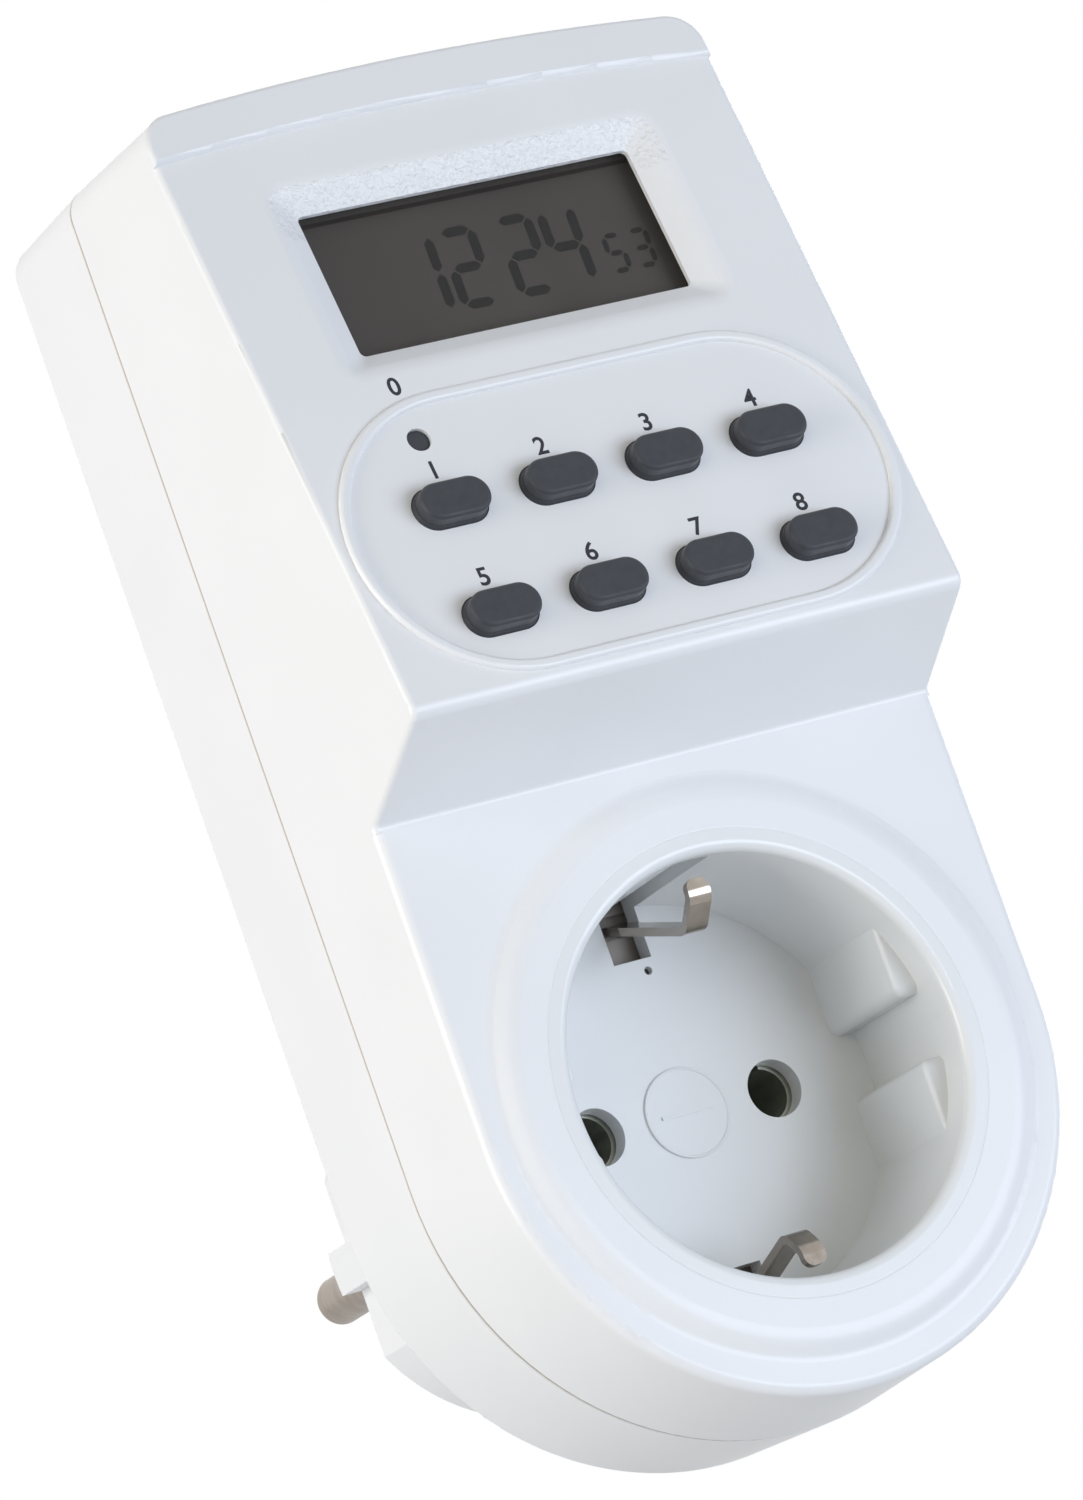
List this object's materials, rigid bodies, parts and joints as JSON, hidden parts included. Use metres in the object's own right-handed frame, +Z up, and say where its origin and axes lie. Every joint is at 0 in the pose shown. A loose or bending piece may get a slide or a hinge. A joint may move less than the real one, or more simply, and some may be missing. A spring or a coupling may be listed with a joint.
{
  "type": "electronic plug-in timer",
  "caption": "Plug-in electronic timer: tall white casing with a display and rubber keys on a leaning head above an earthed round socket, and an earthed plug at the back.",
  "frame": {"origin": "on the plug's axis between its two pins, in the plug's end face that meets the wall socket", "axes": "+Z up the tall casing, +Y into the wall along the pins, the user stands at -Y"},
  "size_m": [0.0602, 0.0906, 0.1283],
  "materials": {
    "white_shell": "fine moulded texture, slight sheen",
    "white_insert": "smooth moulded",
    "window": "clear, polished",
    "display_glass": "polished dark grey-brown liquid crystal panel",
    "carrier_plastic": "plain moulded, dark grey-green",
    "contact_rubber": "matt silicone",
    "key_rubber": "matt rubber, dark grey-blue",
    "board": "solder mask over laminate",
    "black_case": "matt moulded",
    "relay_case": "smooth moulded",
    "film_case": "smooth moulded",
    "varistor_coat": "dipped coating",
    "resistor_coat": "dipped coating",
    "contact_brass": "stamped, clean",
    "pin_nickel": "nickel plated, turned",
    "clip_nickel": "nickel plated strip",
    "wire_brown": "extruded insulation",
    "wire_blue": "extruded insulation",
    "ribbon": "ribbed grey insulation",
    "steel": "zinc plated"
  },
  "bodies": {
    "casing": {"front_housing": "white_shell", "rear_housing": "white_shell", "socket_insert": "white_insert", "contact_block": "carrier_plastic", "display_window": "window", "lcd_panel": "display_glass", "lcd_bracket": "black_case", "zebra_strips": "contact_rubber", "keypad_mat": "contact_rubber", "control_board": "board", "controller_chip": "black_case", "clock_crystal": "steel", "power_board": "board", "relay": "relay_case", "film_capacitor": "film_case", "smoothing_capacitor": "black_case", "varistor": "varistor_coat", "fuse_resistor": "resistor_coat", "rectifier_diodes": "black_case", "driver_transistor": "black_case", "backup_battery": "steel", "line_contact": "contact_brass", "neutral_contact": "contact_brass", "plug_pin_line": "pin_nickel", "plug_pin_neutral": "pin_nickel", "neutral_link": "contact_brass", "live_wire": "wire_brown", "switched_wire": "wire_brown", "neutral_wire": "wire_blue", "earth_strap": "clip_nickel", "ribbon_cable": "ribbon", "housing_screws": "steel", "control_board_screws": "steel", "power_board_screws": "steel"},
    "key_upper_1_body": {"key_upper_1": "key_rubber"},
    "key_upper_2_body": {"key_upper_2": "key_rubber"},
    "key_upper_3_body": {"key_upper_3": "key_rubber"},
    "key_upper_4_body": {"key_upper_4": "key_rubber"},
    "key_lower_1_body": {"key_lower_1": "key_rubber"},
    "key_lower_2_body": {"key_lower_2": "key_rubber"},
    "key_lower_3_body": {"key_lower_3": "key_rubber"},
    "key_lower_4_body": {"key_lower_4": "key_rubber"},
    "reset_key_body": {"reset_key": "key_rubber"},
    "earth_clip_upper_body": {"earth_clip_upper": "clip_nickel"},
    "earth_clip_lower_body": {"earth_clip_lower": "clip_nickel"}
  },
  "joints": [
    {"name": "key_upper_1_press", "type": "slide", "parent": "casing", "child": "key_upper_1_body", "axis": [0, 0.9819, -0.1896], "range_m": [0, 0.0009], "stiffness_N_per_m": 800},
    {"name": "key_upper_2_press", "type": "slide", "parent": "casing", "child": "key_upper_2_body", "axis": [0, 0.9819, -0.1896], "range_m": [0, 0.0009], "stiffness_N_per_m": 800},
    {"name": "key_upper_3_press", "type": "slide", "parent": "casing", "child": "key_upper_3_body", "axis": [0, 0.9819, -0.1896], "range_m": [0, 0.0009], "stiffness_N_per_m": 800},
    {"name": "key_upper_4_press", "type": "slide", "parent": "casing", "child": "key_upper_4_body", "axis": [0, 0.9819, -0.1896], "range_m": [0, 0.0009], "stiffness_N_per_m": 800},
    {"name": "key_lower_1_press", "type": "slide", "parent": "casing", "child": "key_lower_1_body", "axis": [0, 0.9819, -0.1896], "range_m": [0, 0.0009], "stiffness_N_per_m": 800},
    {"name": "key_lower_2_press", "type": "slide", "parent": "casing", "child": "key_lower_2_body", "axis": [0, 0.9819, -0.1896], "range_m": [0, 0.0009], "stiffness_N_per_m": 800},
    {"name": "key_lower_3_press", "type": "slide", "parent": "casing", "child": "key_lower_3_body", "axis": [0, 0.9819, -0.1896], "range_m": [0, 0.0009], "stiffness_N_per_m": 800},
    {"name": "key_lower_4_press", "type": "slide", "parent": "casing", "child": "key_lower_4_body", "axis": [0, 0.9819, -0.1896], "range_m": [0, 0.0009], "stiffness_N_per_m": 800},
    {"name": "reset_key_press", "type": "slide", "parent": "casing", "child": "reset_key_body", "axis": [0, 0.9819, -0.1896], "range_m": [0, 0.0006], "stiffness_N_per_m": 800},
    {"name": "earth_clip_upper_flex", "type": "hinge", "parent": "casing", "child": "earth_clip_upper_body", "pos_m": [0, -0.0306, 0.0176], "axis": [-1, 0, 0], "range_deg": [0, 4.5], "stiffness_Nm_per_rad": 0.2},
    {"name": "earth_clip_lower_flex", "type": "hinge", "parent": "casing", "child": "earth_clip_lower_body", "pos_m": [0, -0.0306, -0.0176], "axis": [1, 0, 0], "range_deg": [0, 4.5], "stiffness_Nm_per_rad": 0.2}
  ]
}
